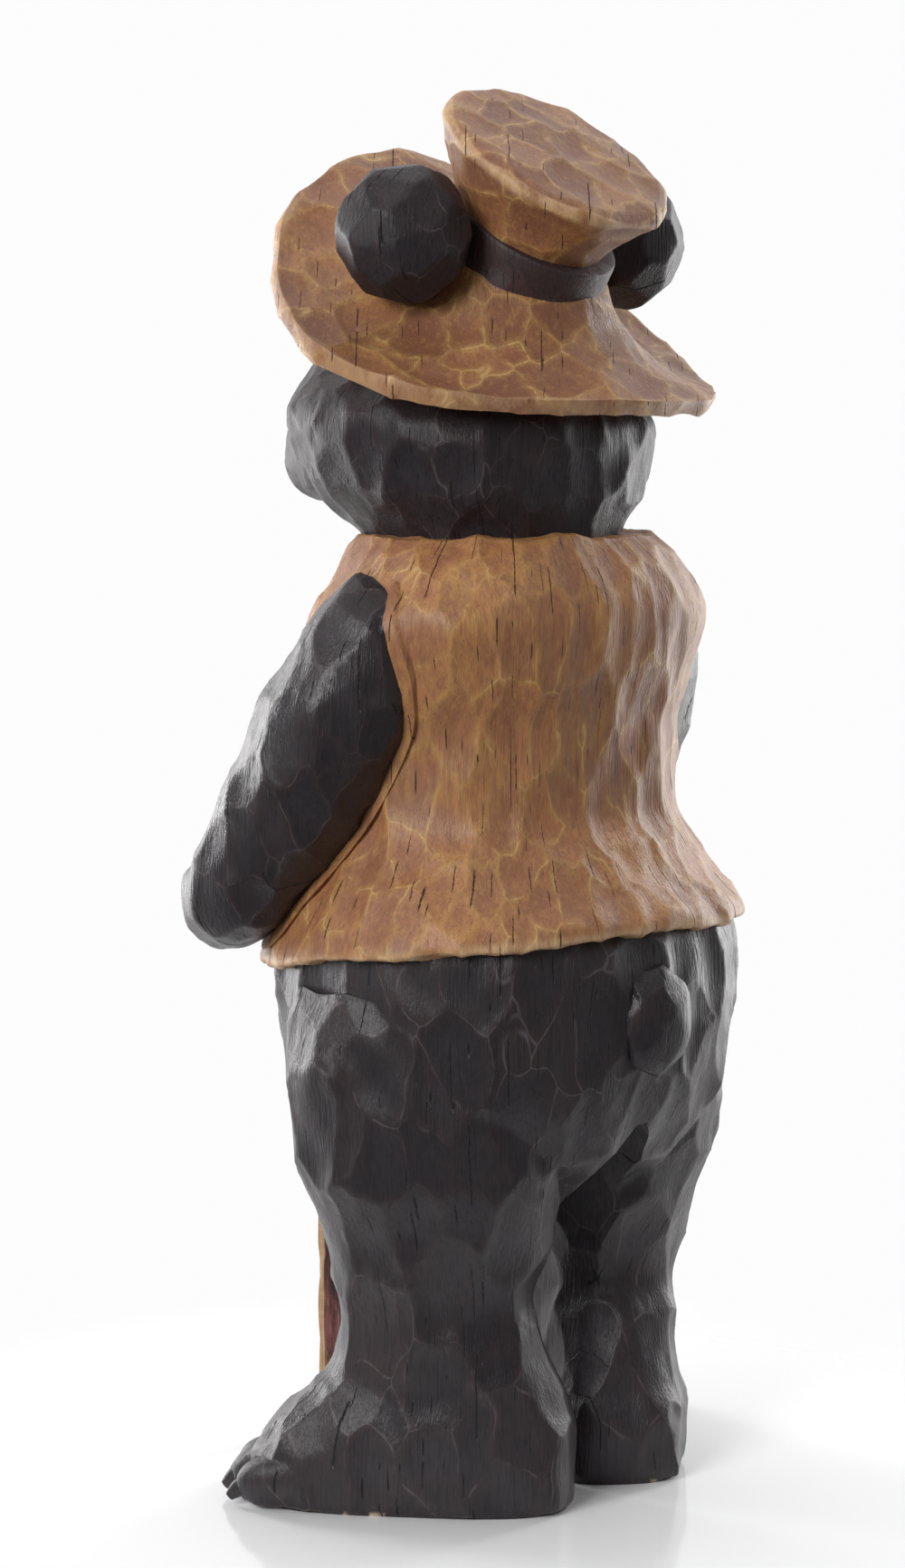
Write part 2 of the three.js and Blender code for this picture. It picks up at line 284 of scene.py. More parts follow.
def gouge(piece, cell, depth, jitter=0.8, floor=-1.0):
    step = piece.modifiers.new("gouge", "NODES")
    step.node_group = cuts
    values = {"Cut size": [c * mm for c in cell], "Depth": depth * mm,
              "Jitter": jitter, "Floor": floor}
    for item in cuts.interface.items_tree:
        if item.in_out == "INPUT" and item.name in values:
            step[item.identifier] = values[item.name]
    return settle(piece)


# shader helper

class Wire:
    # one socket, with arithmetic that adds Math nodes
    def __init__(self, maker, socket):
        self.maker = maker
        self.socket = socket

    def calc(self, operation, a, b=0.0):
        return self.maker.node("ShaderNodeMath", {"operation": operation}, {0: a, 1: b})

    def __add__(self, other):
        return self.calc("ADD", self, other)

    def __radd__(self, other):
        return self.calc("ADD", other, self)

    def __sub__(self, other):
        return self.calc("SUBTRACT", self, other)

    def __rsub__(self, other):
        return self.calc("SUBTRACT", other, self)

    def __mul__(self, other):
        return self.calc("MULTIPLY", self, other)

    def __rmul__(self, other):
        return self.calc("MULTIPLY", other, self)

    def __pow__(self, other):
        return self.calc("POWER", self, other)

    def __abs__(self):
        return self.calc("ABSOLUTE", self)


class Finish:
    # a material and the few ways its nodes are made
    def __init__(self, name):
        self.material = bpy.data.materials.new(name)
        self.material.use_nodes = True
        self.tree = self.material.node_tree
        self.shader = self.tree.nodes["Principled BSDF"]

    def node(self, kind, settings=None, inputs=None, output=0):
        made = self.tree.nodes.new(kind)
        for key, value in (settings or {}).items():
            setattr(made, key, value)
        for key, value in (inputs or {}).items():
            if isinstance(value, Wire):
                self.tree.links.new(value.socket, made.inputs[key])
            else:
                made.inputs[key].default_value = value
        return Wire(self, made.outputs[output])

    def scaled(self, vector, size):
        return self.vector("MULTIPLY", {0: vector, 1: size})

    def vector(self, operation, inputs):
        return self.node("ShaderNodeVectorMath", {"operation": operation}, inputs)

    def larger(self, a, b):
        return self.node("ShaderNodeMath", {"operation": "MAXIMUM"}, {0: a, 1: b})

    def noise(self, vector, detail=3.0, rough=0.55):
        return self.node("ShaderNodeTexNoise", None,
                         {"Vector": vector, "Scale": 1.0, "Detail": detail, "Roughness": rough})

    def rise(self, value, low, high):
        # 0 below low, 1 above high, smooth between
        return self.node("ShaderNodeMapRange", {"interpolation_type": "SMOOTHSTEP"},
                         {"Value": value, "From Min": low, "From Max": high})

    def parts(self, vector):
        split = self.node("ShaderNodeSeparateXYZ", None, {0: vector})
        return [Wire(self, split.socket.node.outputs[i]) for i in range(3)]

    def dashes(self, turn, height, cell, half, share):
        # short upright lines strewn over a wrapped sheet, one at most in each cell
        grid = self.node("ShaderNodeCombineXYZ", None,
                         {0: turn * (1 / cell[0]), 1: height * (1 / cell[1])})
        drawn = {"voronoi_dimensions": "2D"}
        strewn = self.node("ShaderNodeTexVoronoi", drawn, {"Vector": grid, "Scale": 1.0}, output=2)
        pick, long, wide = self.parts(Wire(self, strewn.socket.node.outputs[1]))
        aside, along, _ = self.parts(self.vector("SUBTRACT", {0: grid, 1: strewn}))
        aside = abs(aside) * cell[0]
        along = abs(along) * cell[1] - (0.25 + long * 0.75) * half[1]
        width = (0.5 + wide * 0.7) * half[0]
        line = 1 - self.rise(aside - width, -0.0001, 0.0002)
        ends = 1 - self.rise(along, -0.003, 0.001)
        return line * ends * self.rise(pick, 1 - share, 1.02 - share)

    def blend(self, factor, a, b):
        return self.node("ShaderNodeMix", {"data_type": "RGBA"}, {0: factor, 6: a, 7: b}, output=2)

    def feed(self, **sockets):
        names = {"colour": "Base Color", "roughness": "Roughness", "normal": "Normal",
                 "alpha": "Alpha", "ior": "IOR", "glow": "Emission Color",
                 "glowStrength": "Emission Strength"}
        for name, value in sockets.items():
            socket = self.shader.inputs[names[name]]
            if isinstance(value, Wire):
                self.tree.links.new(value.socket, socket)
            else:
                socket.default_value = value


def paint(text):
    # hex shade to linear colour
    parts = [int(text[i:i + 2], 16) / 255 for i in (0, 2, 4)]
    linear = [c / 12.92 if c <= 0.04045 else ((c + 0.055) / 1.055) ** 2.4 for c in parts]
    return tuple(linear) + (1.0,)


# finishes

cutSizes = {  # width, depth and height of a gouge cut on each part, mm
    "body": (35, 35, 56),
    "arm": (26, 26, 40),
    "head": (28, 28, 36),
    "vest": (24, 24, 54),
    "hat": (33, 33, 31),
}

hat = {
    "tilt": math.radians(-36), "seat": (2, 24, 808), "brimHalf": (164, 141), "brimShift": (-9, -6),
    "brimDroop": (25, 49), "brimThick": 11, "crownFoot": 48, "crownTop": 77,
    "bandRadius": 56, "bandHeight": 20,
}

# the hem's height at the side seams, in metres, and how fast it climbs towards the back
hemLine = {"height": 0.357, "rise": 0.13}

weathering = {  # sizes of the paint's pattern: noise in cycles a metre, drying checks in metres
    "grain": (520, 520, 22), "fine": (1100, 1100, 60), "blotch": (16, 16, 9),
    "brush": (75, 75, 42), "mottle": (210, 210, 90),
    "wrapRadius": 0.12,  # the sheet of checks is wrapped round the figure at about this radius
    "hatStretch": 1.7, "apart": 0.31,
    "shortCell": (0.011, 0.030), "shortHalf": (0.00025, 0.010),
    "longCell": (0.024, 0.08), "longHalf": (0.00035, 0.028),
}


def cutCells(finish, own, cell):
    # the same cells as the tool marks: distances to the rim and the middle, and a tone per cut
    straight = finish.scaled(own, [1 / (c * mm) for c in cell])
    sway = finish.node("ShaderNodeTexNoise", None,
                       {"Vector": straight, "Scale": handSway["scale"], "Detail": 1.0}, 1)
    sway = finish.vector("SUBTRACT", {0: sway, 1: (0.5, 0.5, 0.5)})
    cutPlace = finish.vector("MULTIPLY_ADD", {0: sway, 1: (handSway["reach"],) * 3, 2: straight})
    voronoi = {"Vector": cutPlace, "Scale": 1.0, "Randomness": 0.8}
    rim = finish.node("ShaderNodeTexVoronoi", {"feature": "DISTANCE_TO_EDGE"}, voronoi)
    middle = finish.node("ShaderNodeTexVoronoi", {"feature": "F1"}, voronoi)
    tone = finish.node("ShaderNodeTexVoronoi", {"feature": "F1"}, voronoi, output=1)
    return rim, middle, finish.node("ShaderNodeSeparateColor", None, {0: tone})


def dryingChecks(finish, own, fine, brush, share, wrapped):
    # thin upright splits, short ones and long ones
    w = weathering
    east, north, height = finish.parts(own)
    if wrapped:
        turn = finish.node("ShaderNodeMath", {"operation": "ARCTAN2"}, {0: north, 1: east})
        turn = turn * w["wrapRadius"]
    else:
        turn = (north - east) * math.sqrt(0.5)
        height = height * w["hatStretch"]
    turn = turn + (fine - 0.5) * 0.0014 + (brush - 0.5) * 0.002
    short = finish.dashes(turn, height, w["shortCell"], w["shortHalf"], share)
    long = finish.dashes(turn + w["apart"], height, w["longCell"], w["longHalf"], share)
    return finish.larger(short, long)


def gougedPaint(name, cell, shades, gloss, wrapped=True, worn=None, ior=1.5):
    # painted carving: tone per cut, rubbed ridges with a painted highlight along the cut rims,
    # upright grain and drying checks
    finish = Finish(name)
    place = finish.node("ShaderNodeTexCoord", output=3)
    own = finish.vector("SUBTRACT", {0: place, 1: (0, rideShift * mm, 0)})
    rim, middle, cellTone = cutCells(finish, own, cell)
    grain = finish.noise(finish.scaled(place, weathering["grain"]), detail=4, rough=0.6)
    fine = finish.noise(finish.scaled(place, weathering["fine"]), detail=2)
    blotch = finish.noise(finish.scaled(place, weathering["blotch"]), detail=3)
    brush = finish.noise(finish.scaled(place, weathering["brush"]), detail=3)
    mottle = finish.noise(finish.scaled(place, weathering["mottle"]), detail=5, rough=0.7)
    checks = dryingChecks(finish, own, fine, brush, shades["checkShare"], wrapped)
    # thin: the pale line along each cut's rim, partly paint rubbed off the ridge and partly a
    # painted highlight where the ridge catches light
    thin = 1 - finish.rise(rim + (brush - 0.5) * 0.05, 0.006, 0.026)
    thin = thin * finish.rise(brush, 0.40, 0.62) * finish.rise(blotch, 0.36, 0.56)
    wide = 1 - finish.rise(rim + (brush - 0.5) * 0.16, 0.01, 0.14)
    wide = wide * (0.35 + finish.rise(brush, 0.42, 0.64) * 0.65)
    colour = finish.blend(finish.rise(blotch, 0.35, 0.65), shades["ground"], shades["second"])
    colour = finish.blend(finish.rise(cellTone, 0.15, 0.95) * 0.65, colour, shades["cut"])
    hollow = 1 - finish.rise(middle, 0.05, 0.5)
    colour = finish.blend(hollow * shades["hollowShare"], colour, shades["hollow"])
    colour = finish.blend(wide * shades["wideShare"], colour, shades["wide"])
    darkMottle, paleMottle = finish.rise(mottle, 0.48, 0.64), 1 - finish.rise(mottle, 0.36, 0.48)
    colour = finish.blend(darkMottle * shades["mottleShare"], colour, shades["grain"])
    colour = finish.blend(paleMottle * shades["mottleShare"], colour, shades["wide"])
    grained = finish.rise(grain, 0.47, 0.68) * shades["grainShare"]
    colour = finish.blend(grained, colour, shades["grain"])
    # lay the pale rim line over the colour: rubbed paint and painted highlight
    colour = finish.blend(thin * shades["ridgeHighlightAndRubShare"], colour, shades["thin"])
    if worn:
        rubbed = worn(finish, own) * finish.rise(brush + grain * 0.5, 0.5, 0.9)
        colour = finish.blend(rubbed, colour, shades["worn"])
    colour = finish.blend(checks * 0.9, colour, shades["check"])
    roughness = gloss + (grain - 0.5) * 0.28 + (blotch - 0.5) * 0.2 + checks * 0.3
    relief = grain * 0.5 + fine * 0.35 + mottle * 0.4 - checks * 1.3
    bump = finish.node("ShaderNodeBump", None,
                       {"Strength": 0.7, "Distance": 0.0012, "Height": relief})
    finish.feed(colour=colour, roughness=roughness, normal=bump, ior=ior)
    return finish.material


def darkShades(ridgeHighlightAndRubShare):
    return {"ground": paint("302a2d"), "second": paint("372f31"), "cut": paint("28242a"),
            "hollow": paint("36333b"), "hollowShare": 0.45,
            "wide": paint("40302f"), "wideShare": 0.45,
            "grain": paint("19171b"), "grainShare": 0.5, "mottleShare": 0.25,
            # thin: the pale rim line, rubbed paint and painted highlight
            "thin": paint("8b8890"), "ridgeHighlightAndRubShare": ridgeHighlightAndRubShare,
            "check": paint("050404"), "checkShare": 0.45, "worn": paint("c8b59c")}


tanShades = {"ground": paint("ba8355"), "second": paint("a97350"), "cut": paint("94664a"),
             "hollow": paint("905e47"), "hollowShare": 0.5,
             "wide": paint("c69a58"), "wideShare": 0.62,
             "grain": paint("7c523c"), "grainShare": 0.42, "mottleShare": 0.3,
             # thin: the pale rim line, rubbed paint and painted highlight
             "thin": paint("e6c486"), "ridgeHighlightAndRubShare": 0.5,
             "check": paint("2a1712"), "checkShare": 0.55, "worn": paint("e2bd90")}

hatShades = {**tanShades, "ground": paint("ae794d"), "second": paint("9c684a"),
             "cut": paint("7e5340"), "hollow": paint("84523f"), "hollowShare": 0.6,
             "checkShare": 0.3}


def hemWear(finish, own):
    # the lowest few millimetres of the vest, along its climbing hem
    _, north, height = finish.parts(own)
    above = height - north * hemLine["rise"] - hemLine["height"]
    return (1 - finish.rise(above, 0.001, 0.008)) * 0.8


def brimWear(finish, own):
    # the outer edge of the brim and the rim of the crown's top, in the hat's own tilted frame
    c, s = math.cos(hat["tilt"]), math.sin(hat["tilt"])
    east, north, height = finish.parts(own)
    x = east * (1 / mm) - hat["seat"][0]
    north, height = north * (1 / mm) - hat["seat"][1], height * (1 / mm) - hat["seat"][2]
    y = north * c + height * s
    z = height * c - north * s
    far = (((x - hat["brimShift"][0]) * (1 / hat["brimHalf"][0])) ** 2
           + ((y - hat["brimShift"][1]) * (1 / hat["brimHalf"][1])) ** 2)
    rim = ((x + 3) ** 2 + (y + 18) ** 2) * (1 / hat["crownTop"] ** 2)
    rimLine = finish.rise(rim, 0.93, 0.98) * finish.rise(z, 48, 53)
    return finish.larger(finish.rise(far, 0.95, 0.99) * 0.6, rimLine) * 0.6


def soleWear(finish, own):
    # small pale chips along the very foot of the carving, where the paint has come away
    _, _, height = finish.parts(own)
    patch = finish.noise(finish.scaled(own, (38, 38, 10)), detail=2)
    return (1 - finish.rise(height, 0.001, 0.0045)) * finish.rise(patch, 0.60, 0.63)


def plainPaint(name, shade, gloss):
    # one dark colour, with little rubbed paint or painted ridge highlight, and few checks
    shades = {**darkShades(0.06), "checkShare": 0.25}
    shades["ground"] = shades["second"] = paint(shade)
    return gougedPaint(name, cutSizes["head"], shades, gloss)


def barkFinish():
    finish = Finish("roughBark")
    place = finish.node("ShaderNodeTexCoord", output=3)
    plates = finish.noise(finish.scaled(place, (170, 170, 34)), detail=5, rough=0.65)
    fibre = finish.noise(finish.scaled(place, (620, 620, 40)), detail=3)
    moss = finish.noise(finish.scaled(place, (42, 42, 18)), detail=3)
    colour = finish.blend(finish.rise(plates, 0.34, 0.62), paint("2f1a1a"), paint("7c4a48"))
    colour = finish.blend(finish.rise(moss, 0.55, 0.72) * 0.6, colour, paint("a5764a"))
    colour = finish.blend(finish.rise(fibre, 0.56, 0.72) * 0.45, colour, paint("b99b7c"))
    bump = finish.node("ShaderNodeBump", None,
                       {"Strength": 0.8, "Distance": 0.002, "Height": plates + fibre * 0.4})
    finish.feed(colour=colour, roughness=0.75, normal=bump)
    return finish.material


def sawnFinish():
    finish = Finish("sawnWood")
    place = finish.node("ShaderNodeTexCoord", output=3)
    grain = finish.noise(finish.scaled(place, (420, 420, 12)), detail=4)
    kerf = finish.noise(finish.scaled(place, (20, 20, 380)), detail=2)
    colour = finish.blend(finish.rise(grain, 0.35, 0.7), paint("c4a27a"), paint("9b7550"))
    colour = finish.blend(finish.rise(kerf, 0.5, 0.75) * 0.3, colour, paint("d9bd96"))
    bump = finish.node("ShaderNodeBump", None,
                       {"Strength": 0.4, "Distance": 0.001, "Height": grain + kerf * 0.5})
    finish.feed(colour=colour, roughness=0.6, normal=bump)
    return finish.material


slots = {"body": 0, "head": 1, "vest": 2, "hat": 3, "band": 4, "nose": 5, "arm": 6}
finishes = [
    gougedPaint("charcoalBody", cutSizes["body"], darkShades(0.26), 0.4, worn=soleWear),
    gougedPaint("charcoalHead", cutSizes["head"], darkShades(0.26), 0.46, ior=1.38),
    gougedPaint("tanVest", cutSizes["vest"], tanShades, 0.46, worn=hemWear),
    gougedPaint("tanHat", cutSizes["hat"], hatShades, 0.44, wrapped=False, worn=brimWear),
    plainPaint("brownBand", "46312f", 0.55),
    plainPaint("glossNose", "141314", 0.22),
    gougedPaint("charcoalArm", cutSizes["arm"], darkShades(0.24), 0.35),
]
cuts = gougeTree()
print("finishes ready")


# the carved forms, in mm

grid = 2.3

trunk = {
    "hipHeight": 320, "hipHalf": (155, 132),
    "hemHeight": 357, "hemRise": 0.13, "vestWall": 8, "collarHeight": 622,
    "lipWidth": 6.5, "lipHeight": 3.2,  # the rolled edge round each armhole
}

vestRows = [
    # height, half width, half depth, forward shift
    (trunk["hemHeight"], trunk["hipHalf"][0] + 7, trunk["hipHalf"][1] + 4, -2),
    (trunk["hemHeight"] + 3, trunk["hipHalf"][0] + 10, trunk["hipHalf"][1] + 7, -2),
    (trunk["hemHeight"] + 14, trunk["hipHalf"][0] + 7, trunk["hipHalf"][1] + 4, -2),
    (394, 151, 126, -7),
    (420, 135, 112, -8),
    (448, 125, 101, -9),
    (497, 124, 100, -8),
    (528, 135, 103, -6),
    (568, 142, 105, 0),
    (593, 127, 96, 4),
    (611, 113, 88, 1),
    (trunk["collarHeight"], 100, 82, -3),
]


def torso():
    wall = trunk["vestWall"]
    under = [(0, y, z, a - wall, b - wall, 2.2) for z, a, b, y in vestRows[4:-1]]
    width, depth = trunk["hipHalf"]
    return carve([
        (0, 0, 196, 76, 74, 2.1),
        (0, 0, 226, 120, 106, 2.2),
        (0, 0, 260, 145, 125, 2.2),
        (0, 0, 292, width - 1, depth - 1, 2.2),
        (0, 0, trunk["hipHeight"], width, depth, 2.2),
        (0, -1, 370, width - 2, depth - 2, 2.2),
        *under,
    ], grid)


def vestBell(proud=0.0):
    points, faces = carve([(0, y, z, a + proud, b + proud, 2.25) for z, a, b, y in vestRows], grid)
    fade = np.clip(1 - (points[:, 2] - trunk["hemHeight"]) / 90, 0, 1)
    angle = np.arctan2(points[:, 1], points[:, 0])
    ripple = 1.6 * np.sin(angle * 5 + 0.6) + 1.1 * np.sin(angle * 11 + 2)
    points[:, 2] += (trunk["hemRise"] * points[:, 1] + ripple) * fade
    return points, faces


def slotPrism():
    # the gap between the two vest fronts, waisted and open at the neck
    outline = [(-44, 300), (44, 300), (26, 470), (66, 660), (-66, 660), (-26, 470)]
    points = [(x, y, z) for y in (-240, -40) for x, z in outline]
    count = len(outline)
    faces = [tuple(range(count)), tuple(reversed(range(count, 2 * count)))]
    faces += [(i, i + count, (i + 1) % count + count, (i + 1) % count) for i in range(count)]
    return points, faces


foot = {"side": 82, "back": 8, "splay": math.radians(38)}
legTurn = foot["splay"] - math.pi / 2


def onFoot(along, across):
    s, c = math.sin(foot["splay"]), math.cos(foot["splay"])
    return foot["side"] + s * along + c * across, foot["back"] - c * along + s * across


def leg(mirror):
    rows = [
        # height, shift towards the toes, half length, half width, squareness
        (0, 8, 100, 49, 3.2),
        (10, 9, 104, 52, 3.2),
        (31, 8, 103, 53, 3),
        (47, 5, 98, 52, 2.8),
        (62, 0, 89, 50, 2.6),
        (82, -9, 75, 47, 2.4),
        (105, -8, 67, 47, 2.3),
        (133, -4, 63, 49, 2.2),
        (175, -5, 73, 58, 2.2),
        (217, -3, 86, 73, 2.2),
        (258, -3, 93, 79, 2.2),
        (298, -3, 92, 79, 2.2),
        (338, -4, 86, 72, 2.2),
    ]
    rows = [(*onFoot(along, 0), z, long, wide, square) for z, along, long, wide, square in rows]
    return carve(rows, grid, turn=legTurn, mirror=mirror)


def cleft():
    # the hollow between the backs of the legs, running up under the tail
    return carve([
        (0, 112, 112, 26, 92, 2),
        (0, 112, 150, 32, 92, 2),
        (0, 112, 186, 29, 90, 2),
        (0, 114, 216, 21, 84, 2),
        (0, 118, 236, 13, 72, 2),
        (0, 122, 250, 4, 52, 2),
    ], grid)


toe = {"places": (-37, -13, 12, 37)}  # mm across the foot, from the inner toe outwards


def toes(mirror):
    parts = []
    for across in toe["places"]:
        reach = 104 - 0.006 * across * across
        rows = [(reach - 34, 20, 13, 16), (reach - 6, 18, 14, 17), (reach + 12, 15, 12.5, 14.5),
                (reach + 21, 12, 7, 8)]
        parts.append(carve([(*onFoot(s, across), z, wide, tall, 2.4) for s, z, wide, tall in rows],
                           grid, turn=legTurn + math.pi / 2, follow=True, mirror=mirror))
        claw = [(reach + 14, 15, 4.5, 6), (reach + 22, 12, 4, 6), (reach + 29, 6, 2, 3)]
        parts.append(carve([(*onFoot(s, across), z, wide, tall, 2) for s, z, wide, tall in claw],
                           grid * 0.6, turn=legTurn + math.pi / 2, follow=True, mirror=mirror))
    return parts


def arm(mirror, fat=0.0):
    rows = [
        (105, 0, 588, 24, 25), (117, -3, 566, 38, 39), (127, -11, 532, 45, 45),
        (139, -27, 494, 47, 46), (148, -46, 456, 43, 43), (158, -68, 420, 39, 39),
        (163, -84, 396, 34, 35), (150, -108, 388, 29, 31), (116, -131, 394, 28, 30),
        (80, -147, 404, 29, 31), (56, -154, 411, 30, 32),
    ]
    return carve([(x, y, z, a + fat, b + fat, 2.1) for x, y, z, a, b in rows],
                 grid, turn=-0.5, follow=True, mirror=mirror)


paws = {"palm": (44, -156, 413), "palmHalf": (32, 27, 33), "fingerTop": 434, "fingerGap": 14}


def paw(mirror):
    side = -1 if mirror else 1
    x, y, z = paws["palm"]
    parts = [ball((x * side, y, z), paws["palmHalf"], grid)]
    for i in range(4):
        z = paws["fingerTop"] - i * paws["fingerGap"]
        parts.append(ball((22 * side, -171, z), (17, 11, 7.5), grid * 0.7))
        claw = [(18, -178, z, 4, 5, 2), (9, -181, z, 3.5, 4.5, 2), (2.5, -176, z - 1, 1.5, 2, 2)]
        parts.append(carve(claw, grid * 0.6, turn=math.pi / 2, follow=True, mirror=mirror))
    return parts


skull = {"cheekHeight": 694, "forward": 35}


def head():
    forward = skull["forward"]
    return carve([
        (0, -10, 596, 74, 71, 2.1),
        (0, -13, 614, 81, 77, 2.1),
        (0, -18, 630, 90, 85, 2.15),
        (0, -27, 654, 109, 101, 2.2),
        (0, -forward, skull["cheekHeight"], 121, 112, 2.2),
        (0, -forward - 11, 718, 109, 95, 2.15),
        (0, -forward - 23, 744, 80, 62, 2.1),
        (0, -forward - 3, 768, 56, 50, 2),
        (0, -4, 790, 38, 38, 2),
    ], grid)


def muzzle():
    return carve([
        (0, -120, 680, 60, 50, 2.2),
        (0, -150, 677, 50, 41, 2.2),
        (0, -172, 673, 39, 33, 2.2),
        (0, -189, 671, 21, 20, 2),
    ], grid, follow=True, dome=4)


ears = {"side": 100, "back": 5, "height": 813, "radius": 44, "flats": 40}
face = {"nose": (0, -184, 690), "noseHalf": (17, 12, 12),
        "eye": (41, -134, 714), "eyeHalf": (9, 9, 10)}
tail = {"centre": (0, 128, 318), "half": (30, 20, 37), "flats": 30, "seed": 5}


def onHat(body):
    points, faces = body
    c, s = math.cos(hat["tilt"]), math.sin(hat["tilt"])
    return points @ np.array([[1, 0, 0], [0, c, s], [0, -s, c]]) + hat["seat"], faces


def brim():
    # a bell that falls away steeply at the crown, flattens, and droops most at the two sides
    width, depth = hat["brimHalf"]
    around = stepCount(2 * math.pi * width, grid, 24)
    angle = np.linspace(0, 2 * math.pi, around, endpoint=False)
    layers = stepCount(width * 0.75, grid, 5)
    outward = np.linspace(0.28, 1, layers)
    lip = [(1.004, -hat["brimThick"] * k) for k in (0.8, 0.5, 0.2)]
    levels = [(t, -hat["brimThick"]) for t in outward] + lip + [(t, 0) for t in outward[::-1]]
    wave = 0.006 * np.sin(angle * 7 + 1) + 0.004 * np.sin(angle * 13)
    rings = []
    for t, lift in levels:
        droop = hat["brimDroop"][0] + hat["brimDroop"][1] * np.cos(angle) ** 2
        fall = 1 - (1 - np.clip((t - 0.3) / 0.7, 0, 1)) ** 2.5
        uneven = 1 + wave * t
        rings.append(np.stack([(width * np.cos(angle) * uneven + hat["brimShift"][0]) * t,
                               (depth * np.sin(angle) * uneven + hat["brimShift"][1]) * t,
                               lift - droop * fall], 1))
    return onHat(closedSkin(rings))


def crown():
    low, top = hat["crownFoot"], hat["crownTop"]
    return onHat(carve([
        (5, -5, -24, low, low, 2),
        (5, -6, 6, low, low, 2),
        (3, -10, 24, low + 9, low + 8, 2.1),
        (0, -15, 42, low + 21, low + 20, 2.1),
        (-3, -18, 54, top, top, 2.1),
        (-3, -19, 59, top - 6, top - 6, 2.1),
    ], grid, dome=2))


def band():
    radius, height = hat["bandRadius"], hat["bandHeight"]
    return onHat(carve([
        (1, -3, -20, radius, radius, 2),
        (1, -3, height * 0.4 - 8, radius, radius, 2),
        (1, -3, height - 10, radius - 0.5, radius - 0.5, 2),
        (1, -3, height - 8, radius - 2, radius - 2, 2),
    ], grid))


halfLog = {"half": 21, "face": -162, "bulge": 21, "height": 470, "sawn": 5}


def logBody(grow, step):
    # D-shaped section: sawn face in front, bark behind
    angle = np.linspace(0, math.pi, stepCount(math.pi * halfLog["half"], step, 12))
    arc = np.stack([(halfLog["half"] + grow) * np.cos(angle),
                    halfLog["face"] - grow + (halfLog["bulge"] + 2 * grow) * np.sin(angle)], 1)
    flat = np.linspace(arc[-1], arc[0], stepCount(2 * halfLog["half"], step, 4) + 1)[1:-1]
    outline = np.vstack([arc, flat])
    levels = stepCount(halfLog["height"], step * 1.5, 4)
    heights = np.linspace(-grow, halfLog["height"] + grow, levels)
    rings = [np.column_stack([outline, np.full(len(outline), z)]) for z in heights]
    return closedSkin(rings)


# carving and joining

cutDepths = {  # depth of a gouge cut on each part, mm
    "body": 9.5, "arm": 6.5, "head": 6, "vest": 5.5, "brim": 5, "crown": 5.5, "cleft": 5,
    "detail": 1.5, "tail": 0.8, "band": 1, "nose": 1, "eye": 0.3,
}


def carvedPart(name, body, part, depth, floor=-1.0, jitter=0.8, cell=None):
    piece = makeObject(name, body, slots[part])
    size = cell or cutSizes["head" if part in ("nose", "band") else part]
    return gouge(piece, size, depth, jitter, floor)


def addLimbs(bear):
    depths = cutDepths
    for mirror in (False, True):
        combine(bear, carvedPart("leg", leg(mirror), "body", depths["body"], floor=0.001))
        for part in toes(mirror):
            combine(bear, carvedPart("toe", part, "body", depths["detail"], floor=0.001))
        combine(bear, carvedPart("arm", arm(mirror), "arm", depths["arm"]))
        for part in paw(mirror):
            combine(bear, carvedPart("paw", part, "arm", depths["detail"]))
    combine(bear, carvedPart("cleft", cleft(), "body", depths["cleft"]), "DIFFERENCE")


def addHead(bear):
    depths = cutDepths
    combine(bear, carvedPart("head", head(), "head", depths["head"]))
    combine(bear, carvedPart("muzzle", muzzle(), "head", depths["head"]))
    nose = ball(face["nose"], face["noseHalf"], grid)
    combine(bear, carvedPart("nose", nose, "nose", depths["nose"]))
    for side in (-1, 1):
        x, y, z = face["eye"]
        eye = ball((x * side, y, z), face["eyeHalf"], grid * 0.6)
        combine(bear, carvedPart("eye", eye, "nose", depths["eye"]))
        centre = (ears["side"] * side, ears["back"], ears["height"])
        half = (ears["radius"], ears["radius"] * 0.94, ears["radius"])
        ear = hewnBall(centre, half, ears["flats"], grid, 3 + side)
        combine(bear, carvedPart("ear", ear, "head", depths["detail"]))


def buildVest():
    # the bell, a rolled lip round each armhole, and the gap down the front
    vest = carvedPart("vest", vestBell(), "vest", cutDepths["vest"])
    for mirror in (False, True):
        lip = makeObject("lip", arm(mirror, fat=trunk["lipWidth"]), slots["vest"])
        limit = makeObject("lipLimit", vestBell(trunk["lipHeight"]), slots["vest"])
        combine(lip, limit, "INTERSECT")
        combine(vest, lip)
    combine(vest, makeObject("opening", slotPrism(), slots["vest"]), "DIFFERENCE")
    return vest


def buildBear():
    bear = carvedPart("bear", torso(), "body", cutDepths["body"])
    stump = hewnBall(tail["centre"], tail["half"], tail["flats"], grid, tail["seed"])
    combine(bear, carvedPart("tail", stump, "body", cutDepths["tail"]))
    addLimbs(bear)
    print("body and limbs carved")
    addHead(bear)
    print("head carved")
    combine(bear, buildVest())
    print("vest carved")
    combine(bear, carvedPart("brim", brim(), "hat", cutDepths["brim"]))
    combine(bear, carvedPart("crown", crown(), "hat", cutDepths["crown"]))
    combine(bear, carvedPart("band", band(), "band", cutDepths["band"]))
    combine(bear, makeObject("pocket", logBody(0.3, grid)), "DIFFERENCE")
    print("hat carved and the log's pocket cut")
    return bear


def thin(piece, target):
    count = sum(len(p.vertices) - 2 for p in piece.data.polygons)
    if count <= target:
        return piece
    step = piece.modifiers.new("thin", "DECIMATE")
    step.ratio = target / count
    return settle(piece)


